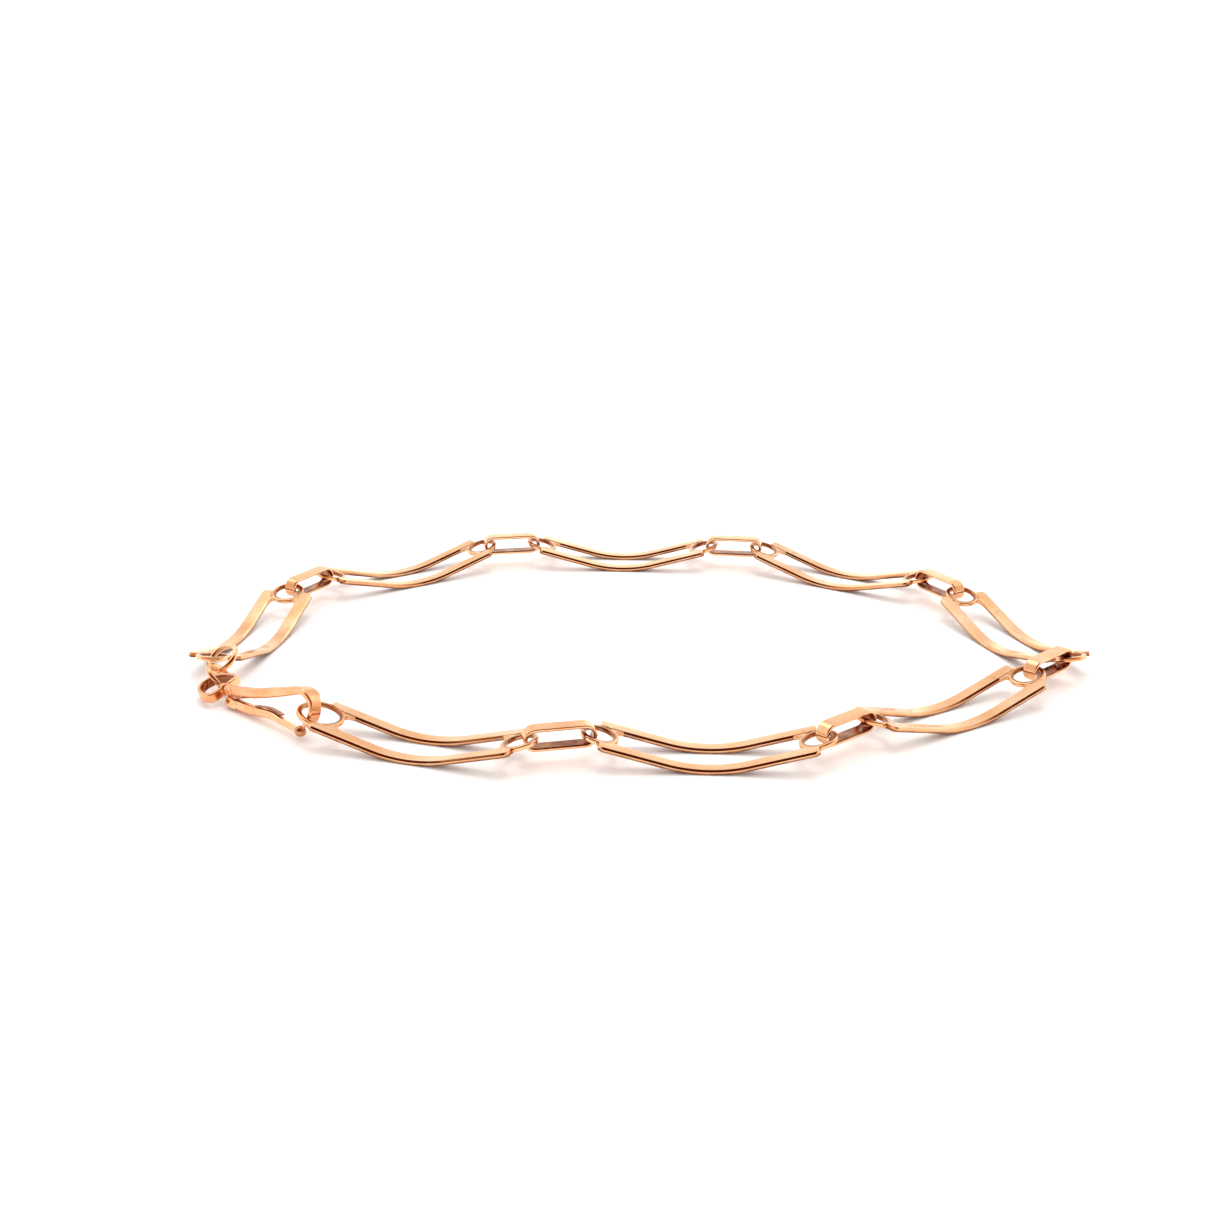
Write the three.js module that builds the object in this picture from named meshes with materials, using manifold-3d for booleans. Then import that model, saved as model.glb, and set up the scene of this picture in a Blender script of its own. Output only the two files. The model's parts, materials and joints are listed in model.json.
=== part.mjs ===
// Rose-gold pocket watch chain, fastened into a closed loop and lying on a table.
// Eight long arched links, seven upright oval connectors, two jump rings and a swivel clasp.
// Millimetres, +Z up. The links are numbered from the clasp, counter-clockwise seen from above.
import * as THREE from "three";
import { mergeVertices } from "three/addons/utils/BufferGeometryUtils.js";
import Module from "manifold-3d";

// ---- driving dimensions ----
const BAR_LENGTH = 25.9; // one flat bar of a long link, along the link
const LINK_WIDTH = 7.8; // over both bars
const BAR_WIDTH = 1.9;
const BAR_THICKNESS = 0.6;
const BAR_CHAMFER = 0.12;
const END_SLOPE = 15; // degrees that the straight flanks of a link rise towards its ends
const BELLY_RADIUS = 19.3; // of the curved middle that rests on the table

const RING_OUTER = 2.4; // radius of the flat-wire ring soldered between the bar ends
const CLASP_RING_OUTER = 3.0; // the larger ring that the clasp hooks into
const RING_WIRE = 0.7; // radial width of the wire
const RING_THICKNESS = 0.65;
const RING_OUTBOARD = 0.034; // ring centre beyond the bar ends
const SOLDER_GAP = 0.05;

const CONNECTOR_LENGTH = 8.9;
const CONNECTOR_HEIGHT = 2.95;
const CONNECTOR_BAND = 1.9; // width of the flat band
const CONNECTOR_THICKNESS = 0.48;
const CONNECTOR_CENTRE = 3.5; // height of its middle above the table
const RING_PITCH = 9.6; // between the two ring centres that a connector joins

// Directions of the pieces round the loop, degrees from +X. Opposite links 2 and 6,
// and 3 and 7, are parallel.
const LINK_HEADINGS = [-18, -3, 32, 111, 148, 177, 212, 258];
const CONNECTOR_HEADINGS = [12, 40, 43, 121, 172, 189, 238];

const JUMP_WIRE = 0.36; // radius of the round wire
// The jump rings and the end of the clasp's bow, measured from the last link's ring: x and y
// from its centre, z from the table. Radii are to the middle of the wire.
const RING_A = { radius: 2.15, at: [1.57, -1.93, 3.61], facing: [-0.474, -0.375, 0.796] };
const RING_B = { radius: 2.1, at: [1.84, -4.24, 1.88], facing: [0.7, 0.04, 0.713] };
const BOW_END = [0.1, -5.59, 1.45];

const CLASP_TILT = 74; // degrees the hook's plane is turned up from the table
const EYE_TILT = 15.5; // the same for the bow at its other end

const HOOK_BAND = 1.74;
const EYE_LENGTH = 5.2;
const EYE_BAND = 1.3;

const GOLD = { color: 0xe8b58c, metalness: 1, roughness: 0.18 };

// ---- helpers ----
const wasm = await Module();
wasm.setup();
const rad = THREE.MathUtils.degToRad;
const unit = (degrees) =>
  new THREE.Vector3(Math.cos(rad(degrees)), Math.sin(rad(degrees)), 0);

function solid(geometry) {
  const g = geometry.clone();
  g.deleteAttribute("normal");
  g.deleteAttribute("uv");
  const merged = mergeVertices(g, 1e-4);
  return new wasm.Manifold(
    new wasm.Mesh({
      numProp: 3,
      vertProperties: new Float32Array(merged.attributes.position.array),
      triVerts: new Uint32Array(merged.index.array),
    }),
  );
}

function geometryOf(manifold) {
  const mesh = manifold.getMesh();
  const g = new THREE.BufferGeometry();
  g.setAttribute("position", new THREE.BufferAttribute(mesh.vertProperties, 3));
  g.setIndex(new THREE.BufferAttribute(mesh.triVerts, 1));
  const flat = g.toNonIndexed();
  flat.computeVertexNormals();
  return flat;
}

function piece(name, geometry, parent, look = GOLD) {
  const mesh = new THREE.Mesh(geometry, new THREE.MeshStandardMaterial(look));
  mesh.name = name;
  parent.add(mesh);
  return mesh;
}

// Points at a distance either side of a polyline, left positive.
function offsetLine(points, distance, closed = false) {
  const n = points.length;
  return points.map((p, i) => {
    const before = closed ? points[(i + n - 1) % n] : points[Math.max(i - 1, 0)];
    const after = closed ? points[(i + 1) % n] : points[Math.min(i + 1, n - 1)];
    const a = p.clone().sub(before).normalize();
    const b = after.clone().sub(p).normalize();
    const t = a.clone().add(b).normalize();
    const miter = 1 / Math.max(0.5, a.length() && b.length() ? t.dot(b) : 1);
    const d = (Array.isArray(distance) ? distance[i] : distance) * miter;
    return new THREE.Vector2(p.x - t.y * d, p.y + t.x * d);
  });
}

// A strip of even or varying half thickness along a polyline.
function stripShape(points, half) {
  const minus = Array.isArray(half) ? half.map((h) => -h) : -half;
  const left = offsetLine(points, half);
  const right = offsetLine(points, minus);
  return new THREE.Shape([...right, ...left.reverse()]);
}

// A flat shape given an even width, centred on its own plane.
function plate(shape, width, chamfer = 0) {
  const g = new THREE.ExtrudeGeometry(shape, {
    depth: width - 2 * chamfer,
    bevelEnabled: chamfer > 0,
    bevelThickness: chamfer,
    bevelSize: chamfer,
    bevelOffset: -chamfer,
    bevelSegments: 1,
    curveSegments: 6,
  });
  return g.translate(0, 0, chamfer - width / 2);
}

// Stands a plate up, so that its second axis points up.
const standing = (geometry) => geometry.rotateX(Math.PI / 2);

function flatWireRing(outer, wire, thickness) {
  const bevel = 0.1;
  const inner = outer - wire;
  const h = thickness / 2;
  const profile = [
    [inner, -h + bevel],
    [inner + bevel, -h],
    [outer - bevel, -h],
    [outer, -h + bevel],
    [outer, h - bevel],
    [outer - bevel, h],
    [inner + bevel, h],
    [inner, h - bevel],
    [inner, -h + bevel],
  ].map(([x, y]) => new THREE.Vector2(x, y));
  return new THREE.LatheGeometry(profile, 22).rotateX(Math.PI / 2);
}

// ---- the long link ----
const slope = rad(END_SLOPE);
const bellyHalf = BELLY_RADIUS * Math.sin(slope);
const endHeight =
  BAR_THICKNESS / 2 +
  BELLY_RADIUS * (1 - Math.cos(slope)) +
  (BAR_LENGTH / 2 - bellyHalf) * Math.tan(slope);
const ringX = BAR_LENGTH / 2 + RING_OUTBOARD * Math.cos(slope);
const ringZ = endHeight + RING_OUTBOARD * Math.sin(slope);

function archLine() {
  const line = [new THREE.Vector2(-BAR_LENGTH / 2, endHeight)];
  const steps = 9;
  for (let i = 0; i <= steps; i += 1) {
    const a = slope * ((2 * i) / steps - 1);
    const x = BELLY_RADIUS * Math.sin(a);
    const z = BAR_THICKNESS / 2 + BELLY_RADIUS * (1 - Math.cos(a));
    line.push(new THREE.Vector2(x, z));
  }
  line.push(new THREE.Vector2(BAR_LENGTH / 2, endHeight));
  return line;
}

// Puts something made round the origin at one end of a link, end -1 or +1.
function atLinkEnd(geometry, end) {
  return geometry.rotateY(-end * slope).translate(end * ringX, 0, ringZ);
}

function bar(side, outers) {
  const across = (side * (LINK_WIDTH - BAR_WIDTH)) / 2;
  const strip = stripShape(archLine(), BAR_THICKNESS / 2);
  let body = solid(standing(plate(strip, BAR_WIDTH, BAR_CHAMFER)).translate(0, across, 0));
  for (const end of [-1, 1]) {
    const radius = outers[end === -1 ? 0 : 1] + SOLDER_GAP;
    const cutter = new THREE.CylinderGeometry(radius, radius, 3, 44).rotateX(Math.PI / 2);
    body = body.subtract(solid(atLinkEnd(cutter, end)));
  }
  return geometryOf(body);
}

function longLink(number, start, heading) {
  const group = new THREE.Group();
  group.position.copy(start).addScaledVector(unit(heading), ringX);
  group.rotation.z = rad(heading);
  const outers = [number === 1 ? CLASP_RING_OUTER : RING_OUTER, RING_OUTER];
  piece(`link_${number}_outer_bar`, bar(-1, outers), group);
  piece(`link_${number}_inner_bar`, bar(1, outers), group);
  ["a", "b"].forEach((letter, i) => {
    const ring = flatWireRing(outers[i], RING_WIRE, RING_THICKNESS);
    piece(`link_${number}_ring_${letter}`, atLinkEnd(ring, i ? 1 : -1), group);
  });
  return group;
}

// ---- the connector ----
function roundedSlot(length, height, steps) {
  const r = height / 2;
  const points = [];
  for (const end of [1, -1]) {
    for (let i = 0; i <= steps; i += 1) {
      const a = -Math.PI / 2 + (Math.PI * i) / steps + (end === 1 ? 0 : Math.PI);
      const x = end * (length / 2 - r) + r * Math.cos(a);
      points.push(new THREE.Vector2(x, r * Math.sin(a)));
    }
  }
  return points;
}

function connector(number, start, heading) {
  const group = new THREE.Group();
  group.position.copy(start).addScaledVector(unit(heading), RING_PITCH / 2);
  group.position.z = CONNECTOR_CENTRE;
  group.rotation.z = rad(heading);
  const t = 2 * CONNECTOR_THICKNESS;
  const shape = new THREE.Shape(roundedSlot(CONNECTOR_LENGTH, CONNECTOR_HEIGHT, 6));
  shape.holes.push(
    new THREE.Path(roundedSlot(CONNECTOR_LENGTH - t, CONNECTOR_HEIGHT - t, 6)),
  );
  piece(`connector_${number}`, standing(plate(shape, CONNECTOR_BAND, 0.08)), group);
  return group;
}

// ---- the loop of links and connectors ----
const chain = new THREE.Group();
const ringCentres = []; // for each link, the centres of its two rings
let walk = new THREE.Vector3();
LINK_HEADINGS.forEach((heading, i) => {
  chain.add(longLink(i + 1, walk, heading));
  const far = walk.clone().addScaledVector(unit(heading), 2 * ringX);
  ringCentres.push([walk.clone(), far]);
  if (i < CONNECTOR_HEADINGS.length) {
    chain.add(connector(i + 1, far, CONNECTOR_HEADINGS[i]));
    walk = far.clone().addScaledVector(unit(CONNECTOR_HEADINGS[i]), RING_PITCH);
  }
});

// Middle of the ring wire at a direction from the ring's centre, on the link's outward side.
function ringWire(centre, outward, direction, outer) {
  const r = outer - RING_WIRE / 2;
  const rise = r * Math.cos(rad(direction - outward)) * Math.sin(slope);
  const p = centre.clone().addScaledVector(unit(direction), r);
  p.z = ringZ + rise;
  return p;
}

// ---- the clasp, in a frame with +X from the collar to the hook and +Y towards its arm ----
const heldAt = ringWire(ringCentres[0][0], LINK_HEADINGS[0] + 180, LINK_HEADINGS[0] + 180,
  CLASP_RING_OUTER);
const lastCentre = ringCentres[7][1];
const byLastRing = ([x, y, z]) => new THREE.Vector3(lastCentre.x + x, lastCentre.y + y, z);
const bowEnd = byLastRing(BOW_END);
const claspAxis = heldAt.clone().sub(bowEnd);
const reach = claspAxis.length() - EYE_LENGTH; // from the collar to the held ring
claspAxis.normalize();
const collar = bowEnd.clone().addScaledVector(claspAxis, EYE_LENGTH);

function claspFrame(tilt) {
  const across = new THREE.Vector3(-claspAxis.y, claspAxis.x, 0).normalize();
  const up = claspAxis.clone().cross(across);
  const y = across.multiplyScalar(Math.cos(rad(tilt))).addScaledVector(up, Math.sin(rad(tilt)));
  const z = claspAxis.clone().cross(y);
  const group = new THREE.Group();
  group.quaternion.setFromRotationMatrix(new THREE.Matrix4().makeBasis(claspAxis, y, z));
  group.position.copy(collar);
  return group;
}

const line = (pairs) => pairs.map(([x, y]) => new THREE.Vector2(x, y));
function smooth(pairs, count) {
  return new THREE.SplineCurve(line(pairs)).getPoints(count);
}
function cylinderAlongX(radius, from, to, sides) {
  return new THREE.CylinderGeometry(radius, radius, to - from, sides)
    .rotateZ(Math.PI / 2)
    .translate((from + to) / 2, 0, 0);
}
function block(x0, x1, y0, y1, z0, z1) {
  return new THREE.BoxGeometry(x1 - x0, y1 - y0, z1 - z0)
    .translate((x0 + x1) / 2, (y0 + y1) / 2, (z0 + z1) / 2);
}

const PIVOT = [0.65, -1.35];
const pinHole = new THREE.CylinderGeometry(0.35, 0.35, 4, 16).rotateX(Math.PI / 2)
  .translate(PIVOT[0], PIVOT[1], 0);
const LUG = 0.8; // width of the tongue that the lever straddles

const bendX = reach + 0.5;
const bendR = 2.15;

// A tongue below the collar carries the pin; the strap of the hook rises from it and curls over.
function hookBody() {
  const arm = smooth([[0.35, 0], [2.2, 0.15], [6.5, 0.62], [9.8, 1.2], [bendX - 1, 2.05]], 8);
  for (let a = 84; a >= -51; a -= 15) {
    const x = bendX + bendR * Math.cos(rad(a));
    arm.push(new THREE.Vector2(x, bendR * Math.sin(rad(a))));
  }
  arm.push(new THREE.Vector2(bendX + 0.7, -2.08));
  const half = arm.map((p, i) => (i < 8 ? 0.6 - 0.015 * i : Math.max(0.25, 0.46 - 0.04 * (i - 8))));
  const tube = solid(cylinderAlongX(0.7, -0.55, 1.1, 20));
  const tongue = solid(block(PIVOT[0] - 0.5, PIVOT[0] + 0.5, PIVOT[1], 0, -LUG / 2, LUG / 2))
    .add(solid(new THREE.CylinderGeometry(0.55, 0.55, LUG, 20).rotateX(Math.PI / 2)
      .translate(PIVOT[0], PIVOT[1], 0)));
  const bore = solid(cylinderAlongX(0.4, -1, 1.25, 16));
  return geometryOf(
    tube.add(solid(plate(stripShape(arm, half), HOOK_BAND, 0.12)))
      .add(tongue.subtract(solid(pinHole)))
      .subtract(bore),
  );
}

// The lever straddles the tongue and ends in a round thumb piece under the hook's tip.
function lever() {
  const tip = bendX - 0.2;
  const path = smooth(
    [PIVOT, [2.6, -1.55], [5.4, -1.8], [8.9, -1.8], [11.5, -2.35], [tip - 0.3, -2.82]],
    14,
  );
  const half = path.map((p, i) => (i < 8 ? 0.52 : Math.max(0.3, 0.52 - 0.06 * (i - 7))));
  const round = new THREE.CylinderGeometry(0.55, 0.55, 1.7, 18).rotateX(Math.PI / 2)
    .translate(PIVOT[0], PIVOT[1], 0);
  const slot = solid(block(PIVOT[0] - 0.7, PIVOT[0] + 0.72, -3, 0, -LUG / 2 - 0.06, LUG / 2 + 0.06));
  const thumb = new THREE.SphereGeometry(0.74, 14, 10).translate(tip, -2.92, 0);
  return geometryOf(
    solid(plate(stripShape(path, half), 1.7)).add(solid(round))
      .subtract(slot).subtract(solid(pinHole)).add(solid(thumb)),
  );
}

function leverSpring() {
  const path = smooth([[10.8, -1.5], [9.8, -1.22], [8.4, -1.02], [7, -1], [6, -1.12]], 10);
  return plate(stripShape(path, 0.12), 0.9);
}

function eye() {
  const t = 0.3;
  const points = [];
  const baseX = -1.05;
  const wide = 2.35;
  for (let i = 0; i <= 14; i += 1) {
    const a = Math.PI / 2 + (Math.PI * i) / 14;
    const x = baseX - 0.9 - (EYE_LENGTH + baseX - 0.9) * -Math.cos(a);
    points.push(new THREE.Vector2(x, wide * Math.sin(a)));
  }
  points.push(new THREE.Vector2(baseX - 0.2, -wide + 0.12));
  points.push(new THREE.Vector2(baseX, -wide + 0.5));
  points.push(new THREE.Vector2(baseX, wide - 0.5));
  points.push(new THREE.Vector2(baseX - 0.2, wide - 0.12));
  const shape = new THREE.Shape(offsetLine(points, -t, true));
  shape.holes.push(new THREE.Path(offsetLine(points, t, true)));
  const body = solid(plate(shape, EYE_BAND, 0.1));
  return geometryOf(body.subtract(solid(cylinderAlongX(0.4, -2, 0, 16))));
}

const swivelProfile = line([[0, -1.95], [0.5, -1.95], [0.68, -1.8], [0.68, -1.5], [0.33, -1.5],
  [0.33, 0.95], [0, 0.95]]);

const bow = claspFrame(EYE_TILT);
piece("clasp_eye", eye(), bow);
const clasp = claspFrame(CLASP_TILT);
piece("clasp_swivel_post",
  new THREE.LatheGeometry(swivelProfile, 16).rotateZ(-Math.PI / 2), clasp);
piece("clasp_body", hookBody(), clasp);
piece("clasp_lever", lever(), clasp);
piece("clasp_lever_pin",
  new THREE.CylinderGeometry(0.28, 0.28, 2.1, 14).rotateX(Math.PI / 2)
    .translate(PIVOT[0], PIVOT[1], 0),
  clasp);
piece("clasp_lever_spring", leverSpring(), clasp);
chain.add(bow, clasp);

// ---- the two jump rings between the last link and the clasp ----
function jumpRing(name, { radius, at, facing }) {
  const mesh = piece(name, new THREE.TorusGeometry(radius, JUMP_WIRE, 8, 22), chain);
  mesh.position.copy(byLastRing(at));
  mesh.quaternion.setFromUnitVectors(
    new THREE.Vector3(0, 0, 1), new THREE.Vector3(...facing).normalize());
}
jumpRing("jump_ring_a", RING_A);
jumpRing("jump_ring_b", RING_B);

// The whole chain stands centred on the table.
const whole = new THREE.Group();
whole.name = "pocket_watch_chain";
whole.add(chain);
whole.updateMatrixWorld(true);
const box = new THREE.Box3().setFromObject(chain, true);
const middle = box.getCenter(new THREE.Vector3());
chain.position.set(-middle.x, -middle.y, -box.min.z);
whole.updateMatrixWorld(true);

export default whole;
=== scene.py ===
"""Rose-gold pocket watch chain, fastened into a loop on a pale table: the detailed visual model.

Every piece is built in millimetres in the frame of its own link, connector, jump ring or clasp,
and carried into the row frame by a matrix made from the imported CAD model.
"""
import json
import math

import bpy
import numpy as np
from mathutils import Matrix, Vector


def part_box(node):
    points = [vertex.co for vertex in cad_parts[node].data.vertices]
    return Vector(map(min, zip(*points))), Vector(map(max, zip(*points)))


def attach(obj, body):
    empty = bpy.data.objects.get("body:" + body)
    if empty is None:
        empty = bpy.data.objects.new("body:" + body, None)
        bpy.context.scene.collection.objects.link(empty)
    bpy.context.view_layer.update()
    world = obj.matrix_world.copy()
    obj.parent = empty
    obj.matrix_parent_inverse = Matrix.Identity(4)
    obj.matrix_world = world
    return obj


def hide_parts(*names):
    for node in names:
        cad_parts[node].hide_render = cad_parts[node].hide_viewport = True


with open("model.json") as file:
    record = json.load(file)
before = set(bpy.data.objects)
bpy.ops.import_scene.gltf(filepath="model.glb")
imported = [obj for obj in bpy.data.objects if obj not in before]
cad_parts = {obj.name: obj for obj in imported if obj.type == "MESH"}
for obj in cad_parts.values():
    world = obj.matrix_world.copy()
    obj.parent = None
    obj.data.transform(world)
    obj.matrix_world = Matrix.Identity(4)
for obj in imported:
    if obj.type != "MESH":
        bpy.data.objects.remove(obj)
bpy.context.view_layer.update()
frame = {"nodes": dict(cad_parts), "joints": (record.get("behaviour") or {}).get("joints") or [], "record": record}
JOINTS = {j["name"]: j for j in frame["joints"]}
MOUNTS = {m["name"]: m for m in frame["record"]["mounts"]}

# ---- dimensions in millimetres ----
# The links, as in the CAD model; the bars are shown a little thicker and bevelled on top.
BAR_LENGTH = 25.9
LINK_WIDTH = 7.8
BAR_WIDTH = 1.9
BAR_THICKNESS = 0.6
BAR_SHOWN_THICKNESS = 0.66
BAR_LIFT = 0.014
BEVEL_SLOPE = math.radians(51)
BEVEL_WIDTH = 0.27
BEVEL_SOFTNESS = 0.035
BAR_CROWN = 0.012
BAR_FOOT_RADIUS = 0.16
BAR_CORNER = 0.55
BELLY_RADIUS = 19.3
SLOPE = math.radians(15)
RING_OUTER = 2.4
CLASP_RING_OUTER = 3.0
RING_WIRE = 0.7
RING_THICKNESS = 0.65
RING_OUTBOARD = 0.034
# Taken off the rings and bands, so that nothing touches at the joints' limits.
CLEARANCE = 0.04
CONNECTOR_LENGTH = 8.9
CONNECTOR_HEIGHT = 2.95
CONNECTOR_BAND = 1.9
CONNECTOR_THICKNESS = 0.48
JUMP_RADII = {"jump_ring_a": 2.15, "jump_ring_b": 2.1}
JUMP_WIRE = 0.36
JUMP_SEAM = 0.012
# The lever's pin in the clasp's frame, and the radius of the rounded ends about it.
PIVOT = (0.65, -1.35)
EYE_RADIUS = 0.55

END_HEIGHT = (BAR_THICKNESS / 2 + BELLY_RADIUS * (1 - math.cos(SLOPE))
              + (BAR_LENGTH / 2 - BELLY_RADIUS * math.sin(SLOPE)) * math.tan(SLOPE))
RING_X = BAR_LENGTH / 2 + RING_OUTBOARD * math.cos(SLOPE)
RING_Z = END_HEIGHT + RING_OUTBOARD * math.sin(SLOPE)


# ---- materials ----
# Painted shade: brown laid on the gold in hollows, inner walls and undersides; a point mask says where.
PAINTED_SHADE = (0.2, 0.042, 0.009)


def gold_material(name, base, warm, pale, rough, scratch, seed):
    """Polished rose gold: patchy colour, worn pale edges, painted brown shade, fine scratches and soft orange
    peel.
    """
    mat = bpy.data.materials.new(name)
    mat.use_nodes = True
    nt = mat.node_tree
    nodes, links = nt.nodes, nt.links
    bsdf = nodes["Principled BSDF"]
    bsdf.inputs["Metallic"].default_value = 1.0
    coord = nodes.new("ShaderNodeTexCoord")
    place = nodes.new("ShaderNodeMapping")
    place.inputs["Location"].default_value = (seed * 0.037, seed * 0.011, seed * 0.023)
    links.new(coord.outputs["Object"], place.inputs["Vector"])

    def noise(scale, detail, roughness, vector=None):
        n = nodes.new("ShaderNodeTexNoise")
        n.inputs["Scale"].default_value = scale
        n.inputs["Detail"].default_value = detail
        n.inputs["Roughness"].default_value = roughness
        links.new((vector or place).outputs["Vector"], n.inputs["Vector"])
        return n

    def ramp(source, stops):
        r = nodes.new("ShaderNodeValToRGB")
        elements = r.color_ramp.elements
        while len(elements) < len(stops):
            elements.new(0.5)
        for element, (at, colour) in zip(elements, stops):
            element.position = at
            element.color = (*colour, 1)
        links.new(source, r.inputs["Fac"])
        return r

    def mix(fac, a, b, blend="MIX"):
        m = nodes.new("ShaderNodeMix")
        m.data_type = "RGBA"
        m.blend_type = blend
        for socket, value in ((m.inputs[0], fac), (m.inputs[6], a), (m.inputs[7], b)):
            if isinstance(value, (int, float)):
                socket.default_value = value
            elif isinstance(value, tuple):
                socket.default_value = (*value, 1)
            else:
                links.new(value, socket)
        return m.outputs[2]

    patches = ramp(noise(160, 3, 0.55).outputs["Fac"],
                   [(0.32, warm), (0.5, base), (0.7, pale)])
    tarnish = ramp(noise(520, 5, 0.65).outputs["Fac"],
                   [(0.60, (0, 0, 0)), (0.78, (1, 1, 1))])
    toned = mix(tarnish.outputs["Color"], patches.outputs["Color"],
                tuple(0.74 * c for c in warm))
    edge = nodes.new("ShaderNodeAttribute")
    edge.attribute_name = "edge"
    wear = nodes.new("ShaderNodeMath")
    wear.operation = "MULTIPLY"
    links.new(edge.outputs["Fac"], wear.inputs[0])
    links.new(ramp(noise(900, 4, 0.6).outputs["Fac"],
                   [(0.35, (0.1, 0.1, 0.1)), (0.65, (0.8, 0.8, 0.8))]).outputs["Color"],
              wear.inputs[1])
    worn = mix(wear.outputs[0], toned, tuple(min(1.0, 1.06 * c) for c in pale))
    # Painted shade: brown laid over the gold where the point mask asks, broken up by noise.
    painted_shade = nodes.new("ShaderNodeAttribute")
    painted_shade.attribute_name = "painted_shade"
    shade_amount = nodes.new("ShaderNodeMath")
    shade_amount.operation = "MULTIPLY"
    links.new(painted_shade.outputs["Fac"], shade_amount.inputs[0])
    links.new(ramp(noise(420, 4, 0.6).outputs["Fac"],
                   [(0.3, (0.6, 0.6, 0.6)), (0.6, (1, 1, 1))]).outputs["Color"],
              shade_amount.inputs[1])
    links.new(mix(shade_amount.outputs[0], worn, PAINTED_SHADE), bsdf.inputs["Base Color"])

    # Hairline scratches: noise drawn out along two directions and cut to thin lines.
    lines = []
    for angle, stretch in ((0.35, (2600, 90, 900)), (-0.8, (110, 2900, 1100))):
        turn = nodes.new("ShaderNodeMapping")
        turn.inputs["Rotation"].default_value = (0.2, 0.1, angle)
        turn.inputs["Scale"].default_value = stretch
        links.new(coord.outputs["Object"], turn.inputs["Vector"])
        hair = noise(1.0, 2, 0.5, turn)
        cut = ramp(hair.outputs["Fac"], [(0.60, (0, 0, 0)), (0.66, (1, 1, 1)), (0.72, (0, 0, 0))])
        lines.append(cut.outputs["Color"])
    scratches = mix(1.0, lines[0], lines[1], "LIGHTEN")

    smudge = nodes.new("ShaderNodeMapRange")
    smudge.inputs["From Min"].default_value = 0.3
    smudge.inputs["From Max"].default_value = 0.75
    smudge.inputs["To Min"].default_value = rough
    smudge.inputs["To Max"].default_value = rough + 0.14
    links.new(noise(330, 4, 0.6).outputs["Fac"], smudge.inputs["Value"])
    rougher = nodes.new("ShaderNodeMath")
    rougher.operation = "MULTIPLY_ADD"
    rougher.inputs[1].default_value = scratch
    links.new(scratches, rougher.inputs[0])
    links.new(smudge.outputs["Result"], rougher.inputs[2])
    links.new(rougher.outputs[0], bsdf.inputs["Roughness"])

    peel = nodes.new("ShaderNodeBump")
    peel.inputs["Strength"].default_value = 0.05
    peel.inputs["Distance"].default_value = 0.00004
    links.new(noise(700, 2, 0.5).outputs["Fac"], peel.inputs["Height"])
    groove = nodes.new("ShaderNodeBump")
    groove.invert = True
    groove.inputs["Strength"].default_value = 0.2
    groove.inputs["Distance"].default_value = 0.000006
    links.new(scratches, groove.inputs["Height"])
    links.new(peel.outputs["Normal"], groove.inputs["Normal"])
    links.new(groove.outputs["Normal"], bsdf.inputs["Normal"])
    return mat


LOOKS = {
    "polished_link_gold": gold_material("rose_gold_links", (0.94, 0.535, 0.285),
                                        (0.90, 0.45, 0.21), (0.97, 0.65, 0.41), 0.07, 0.1, 1),
    "polished_band_gold": gold_material("rose_gold_bands", (0.94, 0.535, 0.285),
                                        (0.88, 0.44, 0.22), (0.97, 0.65, 0.41), 0.10, 0.14, 2),
    "wire_ring_gold": gold_material("rose_gold_wire", (0.93, 0.51, 0.265),
                                    (0.86, 0.42, 0.20), (0.97, 0.63, 0.39), 0.10, 0.12, 3),
    "clasp_gold": gold_material("rose_gold_clasp", (0.92, 0.48, 0.245),
                                (0.83, 0.37, 0.17), (0.96, 0.60, 0.36), 0.12, 0.14, 4),
}


# ---- shape helpers ----
def mm_matrix(origin, x_axis, y_axis, z_axis):
    """Carries millimetres in a local frame into metres in the row frame."""
    m = Matrix.Identity(4)
    for i in range(3):
        m[i][0], m[i][1], m[i][2] = (a[i] * 0.001 for a in (x_axis, y_axis, z_axis))
        m[i][3] = origin[i]
    return m


def section(width, thick, radius, steps=4, crown=0.0):
    """A rounded rectangle: width along u, thickness along v, as (u, v, edge)."""
    points = []
    for su, sv, start in ((1, 1, 0), (-1, 1, 90), (-1, -1, 180), (1, -1, 270)):
        for i in range(steps + 1):
            a = math.radians(start + 90 * i / steps)
            u = su * (width / 2 - radius) + radius * math.cos(a)
            v = sv * (thick / 2 - radius) + radius * math.sin(a)
            points.append((u, v, 0.35 if 0 < i < steps else 0.15))
        if start in (0, 180) and crown:
            for k in (0.5, 0.0, -0.5):
                points.append((su * k * (width - 2 * radius),
                               sv * (thick / 2 + crown * (1 - k * k * 2)), 0.0))
    return points


def bar_section():
    """A bar's section: crowned top with a flat bevel on each side, and rounded lower corners."""
    top, side = BAR_SHOWN_THICKNESS / 2, BAR_WIDTH / 2
    across, down = BEVEL_WIDTH * math.cos(BEVEL_SLOPE), BEVEL_WIDTH * math.sin(BEVEL_SLOPE)
    soft, foot = BEVEL_SOFTNESS, BAR_FOOT_RADIUS
    flat = side - across - 2 * soft
    right = [(side, top - down - 2 * soft, 0.1), (side - 0.3 * soft, top - down - soft, 0.1),
             (side - 0.3 * soft - across, top - soft, 0.1), (flat, top, 0.1)]
    crest = [(k * flat, top + BAR_CROWN * (1 - 2 * k * k), 0.0) for k in (0.5, 0.0, -0.5)]
    left = [(-u, v, edge) for u, v, edge in reversed(right)]
    corners = []
    for su, start in ((-1, 180), (1, 270)):
        for i in range(5):
            a = math.radians(start + 90 * i / 4)
            corners.append((su * (side - foot) + foot * math.cos(a),
                            foot - top + foot * math.sin(a), 0.3 if 0 < i < 4 else 0.1))
    return right + crest + left + corners


def circle(radius, count):
    return [(radius * math.cos(2 * math.pi * i / count), radius * math.sin(2 * math.pi * i / count))
            for i in range(count)]


def round_section(radius, sides):
    return [(u, v, 0.0) for u, v in circle(radius, sides)]


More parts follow.
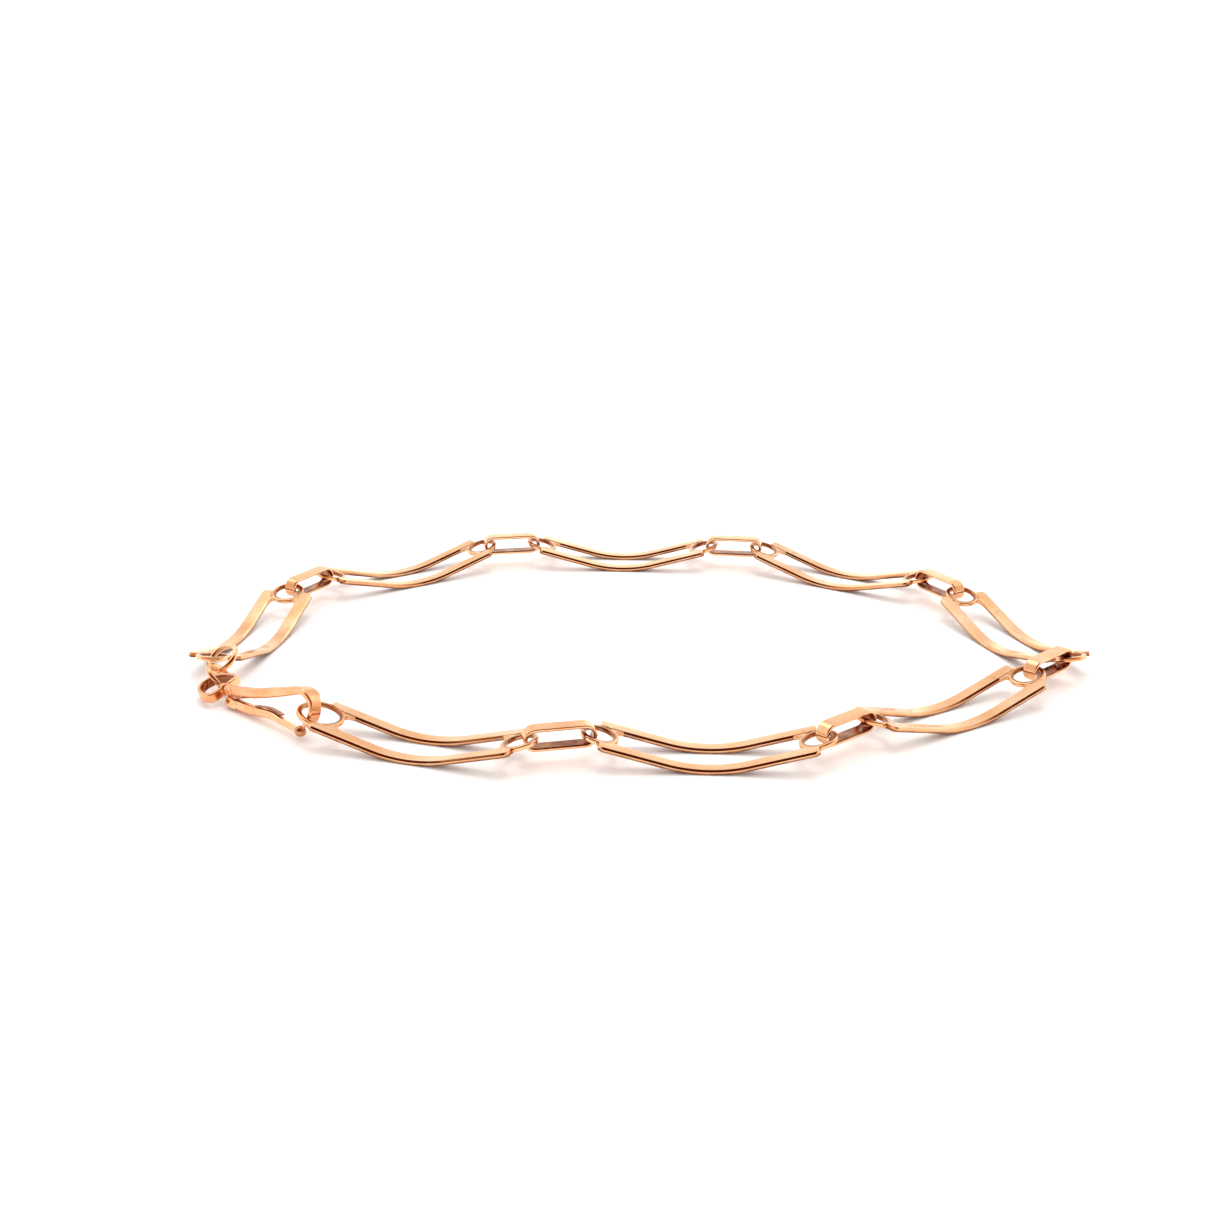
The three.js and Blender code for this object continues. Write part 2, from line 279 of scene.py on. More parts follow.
def area_normals(mesh):
    """Vertex normals that favour the large faces, so flats stay flat beside thin bevels."""
    normals = np.zeros((len(mesh.vertices), 3))
    for polygon in mesh.polygons:
        normals[list(polygon.vertices)] += np.array(polygon.normal) * polygon.area ** 2
    for i, vertex in enumerate(mesh.vertices):
        if not normals[i].any():
            normals[i] = vertex.normal
    return normals / np.linalg.norm(normals, axis=1, keepdims=True)


def mesh_piece(name, shape, matrix, body, slot_name, stands_for=()):
    mesh = bpy.data.meshes.new(name)
    mesh.from_pydata([matrix @ Vector(v) for v in shape.verts], [], shape.faces)
    for polygon in mesh.polygons:
        polygon.use_smooth = True
    # Edge wear and the painted-shade mask go into point attributes for the material.
    for layer_name, values in (("edge", shape.edges), ("painted_shade", shape.painted_shade)):
        layer = mesh.attributes.new(layer_name, "FLOAT", "POINT")
        layer.data.foreach_set("value", values)
    mesh.materials.append(LOOKS[slot_name])
    mesh.normals_split_custom_set_from_vertices([tuple(n) for n in area_normals(mesh)])
    piece = bpy.data.objects.new(name, mesh)
    bpy.context.scene.collection.objects.link(piece)
    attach(piece, body)
    if stands_for:
        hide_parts(*stands_for)
    return piece


class Shape:
    """Verts, faces, edge wear and painted shade gathered from several closed bodies, in millimetres."""

    def __init__(self):
        self.verts, self.faces, self.edges, self.painted_shade = [], [], [], []

    def stations(self, rings, edge_rings, closed=False, painted_shade=0.0):
        """Adds one closed body: equal rings of points, joined up and capped or closed round."""
        base, n = len(self.verts), len(rings[0])
        for ring, worn in zip(rings, edge_rings):
            self.verts += [tuple(p) for p in ring]
            self.edges += list(worn)
        if isinstance(painted_shade, float):
            painted_shade = [[painted_shade] * n] * len(rings)
        for shaded in painted_shade:
            self.painted_shade += list(shaded)
        count = len(rings)
        faces = []
        for i in range(count if closed else count - 1):
            a, b = base + i * n, base + (i + 1) % count * n
            for k in range(n):
                k2 = (k + 1) % n
                faces.append((a + k, a + k2, b + k2, b + k))
        if not closed:
            last = base + (count - 1) * n
            faces.append(tuple(base + k for k in reversed(range(n))))
            faces.append(tuple(last + k for k in range(n)))
        self.faces += self.outward(faces)
        return self

    def outward(self, faces):
        """The faces of one closed body, turned over if they enclose a negative volume."""
        volume = 0.0
        for face in faces:
            a = Vector(self.verts[face[0]])
            for i in range(1, len(face) - 1):
                volume += a.dot(Vector(self.verts[face[i]]).cross(Vector(self.verts[face[i + 1]])))
        return faces if volume > 0 else [tuple(reversed(face)) for face in faces]

    def sweep(self, path, sections, closed=False, end_round=0.0, side=(0, 0, 1), painted_shade=None):
        """Sweeps sections along a path in the plane square to side; v points left of travel.

        The ends are rounded off over end_round. The painted shade comes from a function of the height
        in the section, from -1 to 1 along v.
        """
        path = [Vector(p) if len(p) == 3 else Vector((p[0], p[1], 0)) for p in path]
        side = Vector(side)
        n = len(path)
        if isinstance(sections[0], tuple):
            sections = [sections] * n
        tangents = []
        for i in range(n):
            before = path[(i - 1) % n] if closed or i else path[0]
            after = path[(i + 1) % n] if closed or i < n - 1 else path[-1]
            tangents.append((after - before).normalized())
        # Each stop is a centre, its tangent, its section and how far the section shrinks.
        stops = [(path[i], tangents[i], sections[i], 0.0) for i in range(n)]
        if not closed and end_round:
            head, tail = [], []
            for degrees in (90, 60, 30):
                a = math.radians(degrees)
                out, shrink = end_round * math.sin(a), end_round * (1 - math.cos(a))
                head.append((path[0] - tangents[0] * out, tangents[0], sections[0], shrink))
                tail.insert(0, (path[-1] + tangents[-1] * out, tangents[-1], sections[-1], shrink))
            stops = head + stops + tail
        rings, worn, shaded = [], [], []
        for centre, tangent, points, shrink in stops:
            left = side.cross(tangent).normalized()
            high = max(v for _, v, _ in points)
            shaded.append([painted_shade(v / high) if painted_shade else 0.0 for _, v, _ in points])
            ring = []
            for u, v, _ in points:
                k = max(0.05, 1 - shrink / (math.hypot(u, v) or 1.0))
                ring.append(centre + side * (u * k) + left * (v * k))
            rings.append(ring)
            worn.append([max(e, 0.9 if shrink else 0.0) for _, _, e in points])
        return self.stations(rings, worn, closed, shaded)

    def lathe(self, profile, sides, origin=(0, 0, 0), axis=(1, 0, 0), hollow=False):
        """Turns (along, radius) points about an axis through origin, with or without a bore."""
        axis = Vector(axis).normalized()
        u = axis.orthogonal().normalized()
        w = axis.cross(u)
        rings = []
        for along, radius in profile:
            centre = Vector(origin) + axis * along
            rings.append([centre + (u * math.cos(t) + w * math.sin(t)) * max(radius, 1e-4)
                          for t in (2 * math.pi * i / sides for i in range(sides))])
        return self.stations(rings, [[0.15] * sides] * len(rings), closed=hollow)

    def bead(self, centre, radius, squash, sides, rows, painted_shade, edge=0.6):
        """A rounded blob: solder, or the lever's thumb end."""
        rings = []
        for i in range(rows):
            a = math.pi * ((i + 0.25) / (rows - 0.5) - 0.5)
            ring = []
            for k in range(sides):
                t = 2 * math.pi * k / sides
                p = Vector((math.cos(a) * math.cos(t) * squash[0],
                            math.cos(a) * math.sin(t) * squash[1], math.sin(a) * squash[2]))
                ring.append(Vector(centre) + p * radius)
            rings.append(ring)
        return self.stations(rings, [[edge] * sides] * rows, painted_shade=painted_shade)

    def plate(self, outline, thick, bevel, painted_shade):
        """A flat plate with softened rims in the plane z = 0, from an outline of (x, y)."""
        ring = [Vector((x, y, 0)) for x, y in outline]
        middle = sum(ring, Vector()) / len(ring)
        layers, worn = [], []
        half, ease = thick / 2, 0.3 * bevel
        for z, inset in ((half, bevel), (half - ease, ease), (half - bevel, 0),
                         (bevel - half, 0), (ease - half, ease), (-half, bevel)):
            layer = [p + (middle - p).normalized() * inset + Vector((0, 0, z)) for p in ring]
            layers.append(list(reversed(layer)))
            worn.append([0.8 if inset else 0.3] * len(ring))
        return self.stations(layers, worn, painted_shade=painted_shade)

    def eyed_plate(self, outline, centre, hole, z, thick, bevel=0.07, rim=0.03):
        """A flat plate with a round hole, from an outline seen whole from the hole's centre."""
        middle = Vector((*centre, z))
        half = thick / 2
        rings, worn = [], []
        for x, y in outline:
            arm = Vector((x, y, z)) - middle
            reach = arm.length
            profile = [(hole, half - rim), (hole + rim, half), (reach - bevel, half),
                       (reach, half - bevel), (reach, bevel - half), (reach - bevel, -half),
                       (hole + rim, -half), (hole, rim - half)]
            rings.append([middle + arm * (r / reach) + Vector((0, 0, h)) for r, h in profile])
            worn.append([0.3] * len(profile))
        return self.stations(rings, worn, closed=True)

    def place(self, name, matrix, body, slot_name, stands_for=()):
        return mesh_piece(name, self, matrix, body, slot_name, stands_for)


def spline(points, count):
    """Catmull-Rom curve through the points."""
    pts = [Vector(p) for p in points]
    ext = [pts[0] * 2 - pts[1]] + pts + [pts[-1] * 2 - pts[-2]]
    out = []
    for s in range(count + 1):
        t = s / count * (len(pts) - 1)
        i = min(int(t), len(pts) - 2)
        f = t - i
        p0, p1, p2, p3 = ext[i:i + 4]
        out.append(0.5 * ((2 * p1) + (p2 - p0) * f + (2 * p0 - 5 * p1 + 4 * p2 - p3) * f * f
                          + (3 * p1 - p0 - 3 * p2 + p3) * f ** 3))
    return out


def blend_list(stops, count):
    """Values at count + 1 even steps through (position 0..1, value) stops."""
    xs, ys = zip(*stops)
    return [float(np.interp(i / count, xs, ys)) for i in range(count + 1)]


def box_centre(node):
    lo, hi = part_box(node)
    return (Vector(lo) + Vector(hi)) / 2


# ---- the long links ----
def arch_path():
    """The curved middle and straight flanks of a bar, as (x, z)."""
    flank = [(inset - BAR_LENGTH / 2, END_HEIGHT - inset * math.tan(SLOPE))
             for inset in (0.08, 0.3, 0.55, 0.9, 1.3, 1.8, 3.4, 5.0, 6.6)]
    angles = [SLOPE * (i / 12 - 1) for i in range(25)]
    belly = [(BELLY_RADIUS * math.sin(a), BAR_THICKNESS / 2 + BELLY_RADIUS * (1 - math.cos(a)))
             for a in angles]
    return flank + belly + [(-x, z) for x, z in reversed(flank)]


def level_matrix(origin, start, stop):
    """An upright millimetre frame at origin, with x level from start towards stop."""
    ahead = stop - start
    ahead.z = 0
    ahead.normalize()
    return mm_matrix(origin, ahead, Vector((0, 0, 1)).cross(ahead), (0, 0, 1))


def end_matrix(link_matrix, end):
    """The frame of a ring at one end of a link: x outwards and up the slope, z square to it."""
    return (link_matrix @ Matrix.Translation((end * RING_X, 0, RING_Z))
            @ Matrix.Rotation(-end * SLOPE, 4, "Y"))


def clipped(points, side, limit):
    """A section cut back to a limit on one side."""
    return [(side * min(side * u, limit), v, edge) for u, v, edge in points]


def bar_painted_shade(v):
    """Painted shade for the bars: none on top, a little on the sides and full brown underneath."""
    return 0.0 if v > 0.25 else 0.12 if v > -0.35 else 1.0


# Painted shade: darkens the inner wall of the ring.
def ring_painted_shade(v):
    return 0.85 if v > 0.3 else 0.0


# Painted shade: darkens the inner face of a connector's band, with a trace elsewhere.
def band_painted_shade(v):
    return 1.0 if v > 0.3 else 0.05


# Painted shade: darkens the inner face of the clasp's bow.
def bow_painted_shade(v):
    return 0.9 if v > 0.3 else 0.0


def long_link(number):
    body = f"link_{number}"
    a, b = box_centre(f"{body}_ring_a"), box_centre(f"{body}_ring_b")
    matrix = level_matrix((a + b) / 2 - Vector((0, 0, RING_Z * 0.001)), a, b)
    outers = {-1: CLASP_RING_OUTER if number == 1 else RING_OUTER, 1: RING_OUTER}
    arch = arch_path()
    whole = bar_section()
    lift = (BAR_SHOWN_THICKNESS - BAR_THICKNESS) / 2 + BAR_LIFT
    for side, word in ((-1, "outer"), (1, "inner")):
        across = side * (LINK_WIDTH - BAR_WIDTH) / 2
        path = [(x, across, z + lift) for x, z in arch]
        sections = []
        for x, _ in arch:
            inset = BAR_LENGTH / 2 - abs(x)
            corner = max(0.0, BAR_CORNER - inset)
            points = clipped(whole, -side, BAR_WIDTH / 2 - corner)
            # The inner edge stops at the middle of the ring's wire, clear of its opening.
            wire = outers[1 if x > 0 else -1] - RING_WIRE / 2
            opening = math.sqrt(max(0.0, wire ** 2 - inset ** 2))
            sections.append(clipped(points, side, min(BAR_WIDTH / 2, abs(across) - opening)))
        shape = Shape().sweep(path, sections, end_round=0.08, side=(0, -1, 0), painted_shade=bar_painted_shade)
        shape.place(f"{body}_{word}_bar_polished", matrix, body, "polished_link_gold",
                    [f"{body}_{word}_bar"])
    for end, letter in ((-1, "a"), (1, "b")):
        shape = soldered_ring(outers[end], end)
        shape.place(f"{body}_ring_{letter}_soldered", end_matrix(matrix, end), body,
                    "wire_ring_gold", [f"{body}_ring_{letter}"])


def soldered_ring(outer, end):
    """A flat-wire ring with solder drawn into the corners between it and the two bars."""
    shape = Shape().sweep(circle(outer - RING_WIRE / 2, 56),
                          section(RING_THICKNESS - CLEARANCE, RING_WIRE - CLEARANCE, 0.2, 6),
                          closed=True, painted_shade=ring_painted_shade)
    inner_edge = LINK_WIDTH / 2 - BAR_WIDTH
    meets = math.acos(min(0.99, inner_edge / outer))
    for side in (-1, 1):
        # A run of solder along the covered arc, above and below the bar, with light painted shade.
        for top in (1, -1):
            run = []
            for i in range(13):
                a = math.pi / 2 + meets * i / 12
                run.append((end * outer * math.cos(a), side * outer * math.sin(a),
                            top * (BAR_THICKNESS / 2 - 0.01)))
            grow = blend_list([(0, 0.06), (0.2, 0.11), (0.8, 0.12), (1, 0.07)], 12)
            shape.sweep(run, [round_section(g, 10) for g in grow], end_round=0.03,
                        painted_shade=lambda v: 0.25)
        # The hollow web of solder on the inboard side, drawn in under the ring's wire, with a trace of painted
        # shade.
        first = math.pi / 2 + 0.7 * meets
        last = math.pi / 2 + meets + math.radians(24)
        r = outer - 0.12
        web = []
        for i in range(8):
            a = first + (last - first) * i / 7
            web.append((end * r * math.cos(a), side * r * math.sin(a)))
        start = Vector(web[-1])
        stop = Vector((start.x - end * 0.95, side * inner_edge))
        bend = Vector((start.x + end * 0.3, side * (inner_edge - 0.06)))
        for i in range(1, 8):
            f = i / 7
            q = start * (1 - f) ** 2 + bend * (2 * f * (1 - f)) + stop * f ** 2
            web.append((q.x, q.y))
        web += [(stop.x, side * (inner_edge + 0.2)), (web[0][0], side * (inner_edge + 0.2))]
        if end * side > 0:
            web.reverse()
        shape.plate(web, 0.58, 0.05, 0.1)
        # The bead where the ring meets the end of the bar, with light painted shade.
        shape.bead((end * 0.06, side * (outer - 0.1), 0.0), 0.24, (1.0, 1.0, 1.2), 12, 7, 0.2)
    return shape


# ---- the connectors ----
def stadium(length, height, arc=14, flat=10):
    """A round-ended oblong, as (x, z)."""
    r = height / 2
    half = length / 2 - r
    points = []
    for i in range(arc + 1):
        a = -math.pi / 2 + math.pi * i / arc
        points.append((half + r * math.cos(a), r * math.sin(a)))
    points += [(half - 2 * half * i / flat, r) for i in range(1, flat)]
    for i in range(arc + 1):
        a = math.pi / 2 + math.pi * i / arc
        points.append((-half + r * math.cos(a), r * math.sin(a)))
    points += [(-half + 2 * half * i / flat, -r) for i in range(1, flat)]
    return points


def connector(number):
    name = f"connector_{number}"
    matrix = level_matrix(box_centre(name), box_centre(f"link_{number}_ring_b"),
                          box_centre(f"link_{number + 1}_ring_a"))
    t = CONNECTOR_THICKNESS
    path = [(x, 0, z) for x, z in stadium(CONNECTOR_LENGTH - t, CONNECTOR_HEIGHT - t)]
    band = section(CONNECTOR_BAND, t - CLEARANCE, 0.16, 5, 0.01)
    shape = Shape().sweep(path, band, closed=True, side=(0, -1, 0), painted_shade=band_painted_shade)
    shape.place(f"{name}_band", matrix, name, "polished_band_gold", [name])


for n in range(1, 9):
    long_link(n)
for n in range(1, 8):
    connector(n)


# ---- the jump rings ----
def fitted_normal(node, facing):
    """The direction square to a flat node, on the facing side, from its vertices."""
    pts = np.array([tuple(v.co) for v in frame["nodes"][node].data.vertices])
    normal = Vector(np.linalg.svd(pts - pts.mean(axis=0), full_matrices=False)[2][2])
    return -normal if normal.dot(facing) < 0 else normal


def jump_ring(node, seam_angle):
    """Round wire with the fine butt joint of its two ends."""
    normal = fitted_normal(node, Vector((0, 0, 1)))
    x_axis = normal.orthogonal().normalized()
    matrix = mm_matrix(box_centre(node), x_axis, normal.cross(x_axis), normal)
    radius, count = JUMP_RADII[node], 72
    path = []
    for i in range(count + 1):
        a = seam_angle + JUMP_SEAM + (2 * math.pi - 2 * JUMP_SEAM) * i / count
        path.append((radius * math.cos(a), radius * math.sin(a)))
    shape = Shape().sweep(path, round_section(JUMP_WIRE, 22), end_round=0.03)
    shape.place(f"{node}_wire", matrix, node, "wire_ring_gold", [node])


jump_ring("jump_ring_a", 0.9)
jump_ring("jump_ring_b", 3.6)


# ---- the clasp ----
swivel = JOINTS["clasp_swivel"]
hinge = JOINTS["lever_hinge"]
collar = Vector(swivel["pos_m"])
clasp_x = Vector(swivel["axis"]).normalized()
clasp_z = Vector(hinge["axis"]).normalized()
clasp_y = clasp_z.cross(clasp_x)
REACH = (Vector(MOUNTS["hook_end"]["pos_m"]) - collar).dot(clasp_x) * 1000
CLASP = mm_matrix(collar, clasp_x, clasp_y, clasp_z)
BEND_X, BEND_R = REACH + 0.5, 2.15
TIP_X = BEND_X - 0.2


def eye_arc(start, stop):
    """Points round the lever's pin at the clasp's rounded ends, every 15 degrees."""
    return [(PIVOT[0] + EYE_RADIUS * math.cos(math.radians(t)),
             PIVOT[1] + EYE_RADIUS * math.sin(math.radians(t))) for t in range(start, stop + 1, 15)]


def flat_spline(points, count):
    return spline([(x, y, 0) for x, y in points], count)


# The strap of the hook leaves the collar, runs along the top and curls down to its tip.
strap = flat_spline([(0.3, 0), (2.2, 0.12), (4.4, 0.32), (6.5, 0.6), (9.8, 1.2),
                     (BEND_X - 1.2, 1.97), (BEND_X - 0.1, BEND_R)], 40)
for i in range(1, 31):
    a = math.radians(90 - i * 141 / 30)
    strap.append(Vector((BEND_X + BEND_R * math.cos(a), BEND_R * math.sin(a), 0)))
strap.append(Vector((BEND_X + 1.02, -1.88, 0)))
strap.append(Vector((BEND_X + 0.74, -2.06, 0)))
count = len(strap) - 1
thick = blend_list([(0, 1.2), (0.1, 1.36), (0.35, 1.3), (0.52, 0.95), (0.7, 0.72), (1, 0.5)], count)
wide = blend_list([(0, 1.25), (0.12, 1.4), (0.4, 1.55), (0.56, 2.1), (0.66, 2.3), (0.75, 1.68),
                   (0.93, 1.66), (1, 1.2)], count)
strap_sections = [section(w, t, 0.42 * t if i < 22 else 0.3 * t, 6, 0.01)
                  for i, (w, t) in enumerate(zip(wide, thick))]
hook = Shape().sweep(strap, strap_sections, end_round=0.1)
hook.lathe([(-0.55, 0.41), (-0.55, 0.6), (-0.49, 0.7), (-0.1, 0.74), (0.12, 0.7), (0.22, 0.64),
            (0.34, 0.68), (0.5, 0.74), (0.95, 0.74), (1.08, 0.64), (1.1, 0.41)], 36, hollow=True)
# The tongue under the collar, which carries the lever's pin, is given some painted shade.
hook.plate(eye_arc(-180, 0) + [(1.18, -0.9), (1.18, 0.1), (0.12, 0.1), (0.12, -0.9)],
           0.78, 0.06, 0.35)
# The lever's stop: a flat-sided block filed out under the root of the arm, painted dark with shade.
hook.plate([(1.0, -0.2), (1.0, -0.58), (1.2, -0.66), (2.9, -0.64), (3.3, -0.5), (3.7, -0.05)],
           1.12, 0.08, 0.7)
hook.place("clasp_hook_body", CLASP, "clasp", "clasp_gold", ["clasp_body"])

# The swivel post: a turned shaft with a domed head behind the bow.
post = Shape().lathe([(-1.95, 0.02), (-1.94, 0.3), (-1.88, 0.5), (-1.78, 0.64), (-1.66, 0.68),
                      (-1.55, 0.66), (-1.5, 0.55), (-1.5, 0.33), (0.9, 0.33), (0.95, 0.28),
                      (0.95, 0.02)], 30)
post.place("clasp_swivel_stem", CLASP, "clasp", "clasp_gold", ["clasp_swivel_post"])

# The lever: two cheeks on the pin, a fat rounded back, a slimmer slope and a round thumb end.
lever_path = flat_spline([(1.75, -1.5), (2.6, -1.6), (5.4, -1.82), (8.9, -1.82), (11.5, -2.35),
                          (TIP_X - 0.4, -2.84)], 44)
fat = blend_list([(0, 1.1), (0.06, 1.22), (0.3, 1.24), (0.55, 1.1), (0.75, 0.86), (1, 0.66)], 44)
broad = blend_list([(0, 1.64), (0.3, 1.6), (0.6, 1.3), (0.8, 1.15), (1, 1.0)], 44)
lever = Shape().sweep(lever_path, [section(w, t, 0.44 * min(w, t), 8)
                                   for w, t in zip(broad, fat)], end_round=0.22)
cheek = eye_arc(90, 270) + [(1.6, -2.06), (2.4, -2.1), (2.6, -1.7), (2.4, -1.16), (1.5, -0.92)]
for z in (-0.625, 0.625):
    lever.eyed_plate(cheek, PIVOT, 0.3, z, 0.36)
# The round thumb end is given half-strength painted shade.
lever.bead((TIP_X, -2.92, 0), 0.74, (1.0, 0.96, 1.0), 28, 18, 0.5, 0.2)
lever.place("clasp_lever_finished", CLASP, "lever", "clasp_gold", ["clasp_lever"])

# The pin, riveted over outside both cheeks.
pin = Shape().lathe([(-1.06, 0.02), (-1.05, 0.16), (-1.0, 0.25), (-0.94, 0.28), (0.94, 0.28),
                     (1.0, 0.25), (1.05, 0.16), (1.06, 0.02)], 22, (*PIVOT, 0), (0, 0, 1))
pin.place("clasp_hinge_rivet", CLASP, "clasp", "clasp_gold", ["clasp_lever_pin"])

# The leaf spring, lying along the back of the lever, painted almost fully with shade.
leaf = flat_spline([(10.8, -1.5), (9.8, -1.22), (8.4, -1.02), (7.0, -1.0), (6.0, -1.12)], 26)
spring = Shape().sweep(leaf, section(0.9, 0.2, 0.07, 4), end_round=0.04, painted_shade=lambda v: 0.9)
spring.place("clasp_leaf_spring", CLASP, "lever", "clasp_gold", ["clasp_lever_spring"])

# The bow: a D of flat band, open at its base for the bored boss that holds the stem.
bow_normal = fitted_normal("clasp_eye", clasp_z)
bow_normal = (bow_normal - clasp_x * bow_normal.dot(clasp_x)).normalized()
BOW = mm_matrix(collar, clasp_x, bow_normal.cross(clasp_x), bow_normal)
EYE_LENGTH, BASE_X, WIDE = 5.2, -1.05, 2.35
arch_x = BASE_X - 0.9
arch = []
for i in range(41):
    a = math.pi / 2 + math.pi * i / 40
    arch.append((arch_x + (EYE_LENGTH + arch_x) * math.cos(a), WIDE * math.sin(a)))
foot = [(BASE_X - 0.5, 0.02 - WIDE), (BASE_X - 0.2, 0.14 - WIDE), (BASE_X - 0.04, 0.36 - WIDE),
        (BASE_X, 0.7 - WIDE), (BASE_X, -1.1), (BASE_X, -0.8), (BASE_X, -0.52)]
bow = Shape().sweep([(x, -y) for x, y in reversed(foot)] + arch + foot,
                    section(1.28, 0.58, 0.2, 6, 0.01), painted_shade=bow_painted_shade)
bow.lathe([(-1.36, 0.37), (-1.36, 0.7), (-1.3, 0.8), (-1.2, 0.84), (-0.82, 0.84), (-0.72, 0.8),
           (-0.68, 0.7), (-0.68, 0.37)], 30, hollow=True)
bow.place("clasp_bow_band", BOW, "bow", "clasp_gold", ["clasp_eye"])


# ---- table, light and camera, in metres ----
FLOOR = 30.0
TENT_LEVEL = 1.18
# The tent's colour low down in front, where the gold is seen from behind.
LOW_FRONT = (0.66, 0.42, 0.27)
# Direction, angular size in degrees and added brightness of the bright panels.
TENT_PANELS = [((-0.35, 0.35, 0.87), 15, 1.0), ((0.8, 0.5, 0.4), 13, 0.7),
               ((0.1, 0.98, 0.16), 10, 0.35)]
TARGET = Vector((-0.005005, 0.019058, 0.0))
DISTANCE = 0.25261
ELEVATION = math.radians(19.83)


def staged(name, verts, faces, material):
    mesh = bpy.data.meshes.new(name)
    mesh.from_pydata(verts, [], faces)
    mesh.materials.append(material)
    thing = bpy.data.objects.new(name, mesh)
    bpy.context.scene.collection.objects.link(thing)
    return thing


def table_material():
    mat = bpy.data.materials.new("pale_table")
    mat.use_nodes = True
    bsdf = mat.node_tree.nodes["Principled BSDF"]
    bsdf.inputs["Base Color"].default_value = (0.99, 0.955, 0.93, 1)
    bsdf.inputs["Roughness"].default_value = 0.7
    bsdf.inputs["Specular IOR Level"].default_value = 0.1
    return mat


def tent_material():
    """What the gold mirrors: a pale tent, dark brown round the camera, with bright panels."""
    mat = bpy.data.materials.new("studio_tent")
    mat.use_nodes = True
    nodes, links = mat.node_tree.nodes, mat.node_tree.links
    coord = nodes.new("ShaderNodeTexCoord")
    unit = nodes.new("ShaderNodeVectorMath")
    unit.operation = "NORMALIZE"
    links.new(coord.outputs["Object"], unit.inputs[0])

    def towards(direction, stops):
        """A ramp over the cosine of the angle to a direction."""
        dot = nodes.new("ShaderNodeVectorMath")
        dot.operation = "DOT_PRODUCT"
        dot.inputs[1].default_value = Vector(direction).normalized()
        links.new(unit.outputs["Vector"], dot.inputs[0])
        shift = nodes.new("ShaderNodeMath")
        shift.operation = "MULTIPLY_ADD"
        shift.inputs[1].default_value = 0.5
        shift.inputs[2].default_value = 0.5
        links.new(dot.outputs["Value"], shift.inputs[0])
        ramp = nodes.new("ShaderNodeValToRGB")
        while len(ramp.color_ramp.elements) < len(stops):
            ramp.color_ramp.elements.new(0.5)
        for element, (cosine, colour) in zip(ramp.color_ramp.elements, stops):
            element.position = (cosine + 1) / 2
            element.color = (*colour, 1)
        links.new(shift.outputs[0], ramp.inputs["Fac"])
        return ramp.outputs["Color"]

    cloth = towards((0, -0.91, 0.42), [(-1.0, (0.80, 0.80, 0.80)), (-0.5, (0.84, 0.84, 0.84)),
                                       (-0.1, (1.0, 1.0, 0.98)), (0.2, (0.97, 0.95, 0.92)),
                                       (0.43, (0.60, 0.42, 0.30)), (0.54, (0.085, 0.016, 0.004)),
                                       (1.0, (0.05, 0.009, 0.002))])
    # Below about 25 degrees the dark part gives way to a paler skirt.
    low = towards((0, 0, 1), [(0.36, (1, 1, 1)), (0.52, (0, 0, 0))])
    skirt = towards((0, -1, 0), [(-0.1, (1.0, 1.0, 0.98)), (0.5, LOW_FRONT), (1.0, LOW_FRONT)])
    blend = nodes.new("ShaderNodeMix")
    blend.data_type = "RGBA"
    for source, socket in ((low, 0), (cloth, 6), (skirt, 7)):
        links.new(source, blend.inputs[socket])
    strength = None
    for direction, size, boost in TENT_PANELS:
        edge = math.cos(math.radians(size))
        panel = towards(direction, [(edge - 0.02, (0, 0, 0)), (edge, (1, 1, 1))])
        add = nodes.new("ShaderNodeMath")
        add.operation = "MULTIPLY_ADD"
        add.inputs[1].default_value = boost
        links.new(panel, add.inputs[0])
        if strength is None:
            add.inputs[2].default_value = TENT_LEVEL
        else:
            links.new(strength, add.inputs[2])
        strength = add.outputs[0]
    glow = nodes.new("ShaderNodeEmission")
    links.new(blend.outputs[2], glow.inputs["Color"])
    links.new(strength, glow.inputs["Strength"])
    links.new(glow.outputs["Emission"], nodes["Material Output"].inputs["Surface"])
    return mat


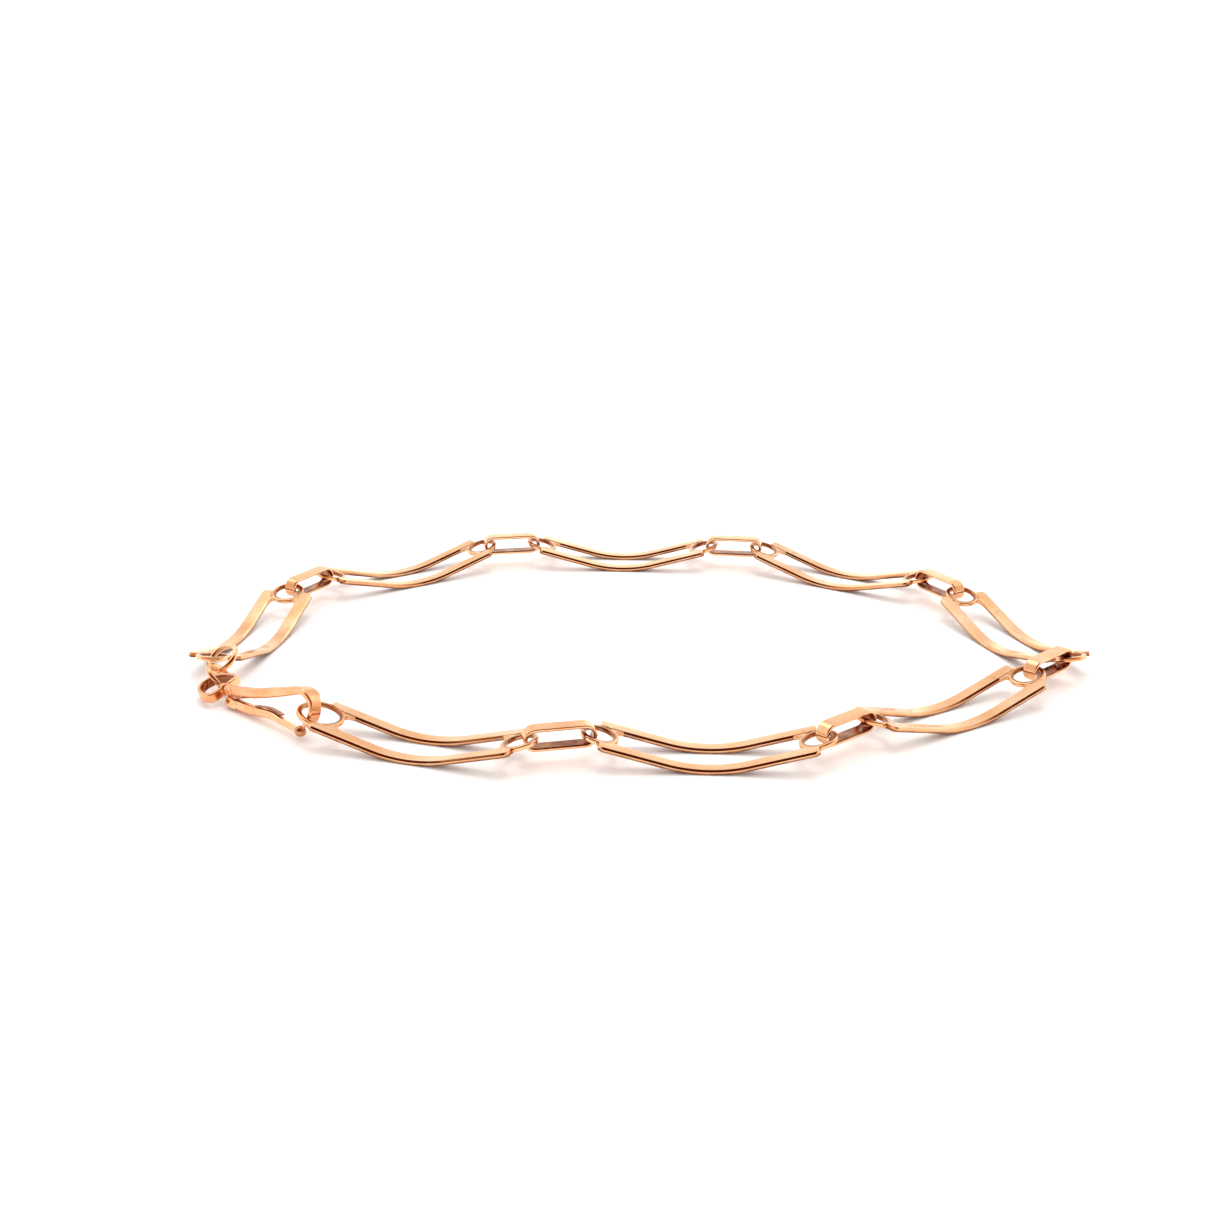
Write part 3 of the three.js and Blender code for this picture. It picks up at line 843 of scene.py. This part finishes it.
def studio_tent(radius=2.0, rows=12, sides=32):
    """A hemisphere that shows in reflections only."""
    verts, faces = [], []
    for i in range(rows + 1):
        rise = math.pi / 2 * i / rows
        for k in range(sides):
            turn = 2 * math.pi * k / sides
            verts.append((radius * max(math.cos(rise), 0.001) * math.cos(turn),
                          radius * max(math.cos(rise), 0.001) * math.sin(turn),
                          radius * math.sin(rise) - 0.01))
    for i in range(rows):
        for k in range(sides):
            k2 = (k + 1) % sides
            faces.append((i * sides + k, (i + 1) * sides + k, (i + 1) * sides + k2,
                          i * sides + k2))
    tent = staged("studio_tent", verts, faces, tent_material())
    tent.visible_camera = False
    tent.visible_diffuse = False
    tent.visible_shadow = False
    tent.visible_transmission = False


def softbox(name, at, size, watts):
    """A rectangular lamp aimed at the middle of the table, unseen in the gold."""
    light = bpy.data.lights.new(name, "AREA")
    light.shape = "RECTANGLE"
    light.size, light.size_y = size
    light.energy = watts
    lamp = bpy.data.objects.new(name, light)
    lamp.location = at
    lamp.rotation_euler = (-Vector(at)).to_track_quat("-Z", "Y").to_euler()
    bpy.context.scene.collection.objects.link(lamp)
    lamp.visible_glossy = False


staged("pale_table", [(-FLOOR, -FLOOR, 0), (FLOOR, -FLOOR, 0), (FLOOR, FLOOR, 0),
                      (-FLOOR, FLOOR, 0)], [(0, 1, 2, 3)], table_material())
studio_tent()
softbox("back_softbox", (-0.25, 0.9, 0.75), (1.0, 0.5), 2.8)
softbox("top_softbox", (0.1, 0.1, 0.9), (0.4, 0.3), 1.6)

world = bpy.context.scene.world or bpy.data.worlds.new("studio")
bpy.context.scene.world = world
world.use_nodes = True
sky = world.node_tree.nodes["Background"]
sky.inputs["Color"].default_value = (1.0, 0.985, 0.975, 1)
sky.inputs["Strength"].default_value = 1.13

camera_data = bpy.data.cameras.new("camera")
camera_data.lens = 50.14
camera_data.sensor_width = 36.0
camera_data.clip_start = 0.01
camera_data.clip_end = 20
camera = bpy.data.objects.new("camera", camera_data)
camera.location = TARGET + DISTANCE * Vector((0, -math.cos(ELEVATION), math.sin(ELEVATION)))
camera.rotation_euler = (TARGET - camera.location).to_track_quat("-Z", "Y").to_euler()
bpy.context.scene.collection.objects.link(camera)
bpy.context.scene.camera = camera
bpy.context.scene.view_settings.view_transform = "Standard"
